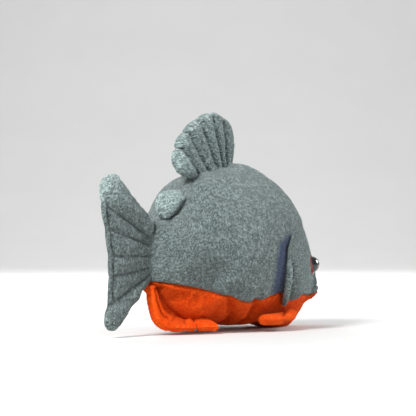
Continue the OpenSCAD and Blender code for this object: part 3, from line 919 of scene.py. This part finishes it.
def gill_cover(side):
    """A padded flap on the cheek, sewn along its front edge, with a rolled rim along its free
    rear edge. u goes from the front to the rear, and v goes up."""
    u = np.linspace(0, 1, FLAP_ROWS + 1)[:, None]
    v = np.linspace(0, 1, FLAP_COLS + 1)[None]
    low = GILL_Z[0] + 1.2 + 7.4 * (1 - u)         # the lower edge rises toward the mouth
    z = low + (GILL_Z[1] - low) * v
    front = 61.5 - 3 * np.abs(2 * v - 1) ** 3
    x = front + (gill_rear(z) - front) * u
    p, n = side_point(x, z)
    rear = np.linalg.norm(p - p[-1:], axis=2)     # distance from the free edge
    ends = smooth(0, 6, np.minimum(v, 1 - v) * (GILL_Z[1] - GILL_Z[0]))
    # the rolled rim wavers, and is plump low down and flat high up
    rim = 2.2 + 0.5 * np.sin(z / 5.5)
    roll = np.sqrt(np.clip(1 - ((rear - rim) / (rim + 0.2)) ** 2, 0, 1))
    plump = smooth(62, 44, z)
    lift = 1.4 + (0.9 + 2.9 * plump) * roll + 2.6 * bell(rear - 20, 8)
    lift -= (1.5 + 0.9 * bell(z - 42, 12)) * plump * bell(rear - 7.4, 2.4)
    lift = lift * (0.6 + 0.4 * ends) * (0.3 + 0.7 * smooth(80, 50, z)) * smooth(0, 0.32, u)
    lift -= 0.5 * smooth(0.25, 0, u)
    lift += 0.4 * noise_at(p, 9, FLAP_SEED) * smooth(0.1, 0.4, u) * ends
    under = 0.35 * smooth(0.1, 0.35, u) - 0.8 * smooth(0.2, 0, u)
    outer = p + n * np.maximum(lift, under + 0.05)[..., None]
    inner = p + n * under[..., None]
    for edge in EDGES:
        outer[edge] = (outer[edge] + inner[edge]) / 2
        inner[edge] = outer[edge]
    points, faces, owner = pillow(inner, outer)
    nap = np.stack([-arc(outer, 0), arc(outer, 1), np.zeros(z.shape)], -1).reshape(-1, 3)[owner]
    # painted highlight on the rolled rim and painted shade in the groove in front of it, low on
    # the flap
    painted_light = 1 + plump * (0.4 * bell(rear - 2.4, 2) - 0.32 * bell(rear - 6.4, 1.7))
    sign = SIDES[side]
    piece(f"gill_cover_{side}_flap", *on_side(points, faces, sign), nap, "grey_plush",
          FLAP_PILE, stands_for=(f"gill_cover_{side}",), fill=0.5, painted_light=painted_light.ravel()[owner],
          bend=("body", f"gill_{side}", (61, -40 * sign, 47), (50, -44 * sign, 47)))


for flap_side in SIDES:
    gill_cover(flap_side)


# ---- the CAD nodes that stay ----

FINISHES = (("eye_washer", WASHER, "white_washer"), ("eye_iris", RED, "red_iris"),
            ("eye", BLACK, "black_eye"), ("", FILL, "fibre_fill"))

for node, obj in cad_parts.items():
    if obj.hide_render:
        continue
    finish, slot = next((m, s) for start, m, s in FINISHES if node.startswith(start))
    for material_slot in obj.material_slots:
        material_slot.material = finish


# ---- the stage, in metres ----

FLOOR_HALF = 3.0
FLOOR_FLAT = FLOOR_HALF * 0.8   # where the floor starts to rise
FLOOR_BEND = 1.6                # radius of its rise into the wall
FLOOR_BEND_ROWS = 16
FLOOR_TURN = -52


def stage_floor():
    """A pale floor that bends up into a wall behind the fish."""
    mat, tree, bsdf = new_material("pale_floor")
    speckle = mottle(tree, add(tree, "TexCoord").outputs["Object"], 6.0, 3.0)
    tree.links.new(mix(tree, speckle, (0.62, 0.62, 0.61), (0.66, 0.66, 0.65)),
                   bsdf.inputs["Base Color"])
    bsdf.inputs["Roughness"].default_value = 0.6
    bend = [(FLOOR_FLAT + FLOOR_BEND * math.sin(a), FLOOR_BEND - FLOOR_BEND * math.cos(a))
            for a in np.linspace(0, math.pi / 2, FLOOR_BEND_ROWS)]
    rows = [(-FLOOR_HALF, 0.0), *bend, (FLOOR_FLAT + FLOOR_BEND, FLOOR_HALF)]
    verts = [(across, back, up) for back, up in rows for across in (-FLOOR_HALF, FLOOR_HALF)]
    faces = [(2 * i, 2 * i + 1, 2 * i + 3, 2 * i + 2) for i in range(len(rows) - 1)]
    mesh = bpy.data.meshes.new("floor")
    mesh.from_pydata(verts, [], faces)
    mesh.polygons.foreach_set("use_smooth", np.ones(len(faces), bool))
    mesh.materials.append(mat)
    floor = bpy.data.objects.new("floor", mesh)
    bpy.context.scene.collection.objects.link(floor)
    floor.rotation_euler = (0, 0, math.radians(FLOOR_TURN))


def area_light(name, at, aim, size, power):
    data = bpy.data.lights.new(name, "AREA")
    data.shape = "DISK"
    data.size = size
    data.energy = power
    lamp = bpy.data.objects.new(name, data)
    bpy.context.scene.collection.objects.link(lamp)
    lamp.location = at
    lamp.rotation_euler = (Vector(aim) - Vector(at)).to_track_quat("-Z", "Y").to_euler()


stage_floor()
FISH = (0.0, 0.0, 0.08)
for name, at, aim, size, power in (("key", (-1.2, -0.1, 1.05), FISH, 0.5, 33),
                                   ("fill", (-1.5, -1.2, 0.5), FISH, 1.2, 5.5),
                                   ("side", (1.2, -0.8, 0.7), FISH, 0.8, 21),
                                   ("back", (0.7, 1.2, 1.0), FISH, 0.8, 9),
                                   ("wall", (0.9, 0.7, 1.6), (2.2, 1.8, 0.3), 1.2, 45)):
    area_light(name, at, aim, size, power)
world = bpy.data.worlds.new("studio")
bpy.context.scene.world = world
world.use_nodes = True
sky = world.node_tree.nodes["Background"]
sky.inputs["Color"].default_value = (0.85, 0.87, 0.9, 1)
sky.inputs["Strength"].default_value = 0.4

# A level camera that sees the fish's right side from behind, with the fish off the middle of
# the picture by the angles whose tangents are ASIDE and ABOVE.
CENTRE = Vector((0.0215, 0, 0.074))
DISTANCE = 1.25
FORWARD, RIGHT_HAND = Vector((0.788, 0.616, 0)), Vector((0.616, -0.788, 0))
ASIDE, ABOVE = 0.01664532650448143, 0.01837387964148527
camera_data = bpy.data.cameras.new("camera")
camera_data.lens = 135
camera_data.sensor_width = 36
camera = bpy.data.objects.new("camera", camera_data)
bpy.context.scene.collection.objects.link(camera)
camera.location = CENTRE - DISTANCE * FORWARD
look = FORWARD - RIGHT_HAND * ASIDE + Vector((0, 0, ABOVE))
camera.rotation_euler = look.to_track_quat("-Z", "Y").to_euler()
bpy.context.scene.camera = camera
bpy.context.scene.view_settings.view_transform = "Standard"
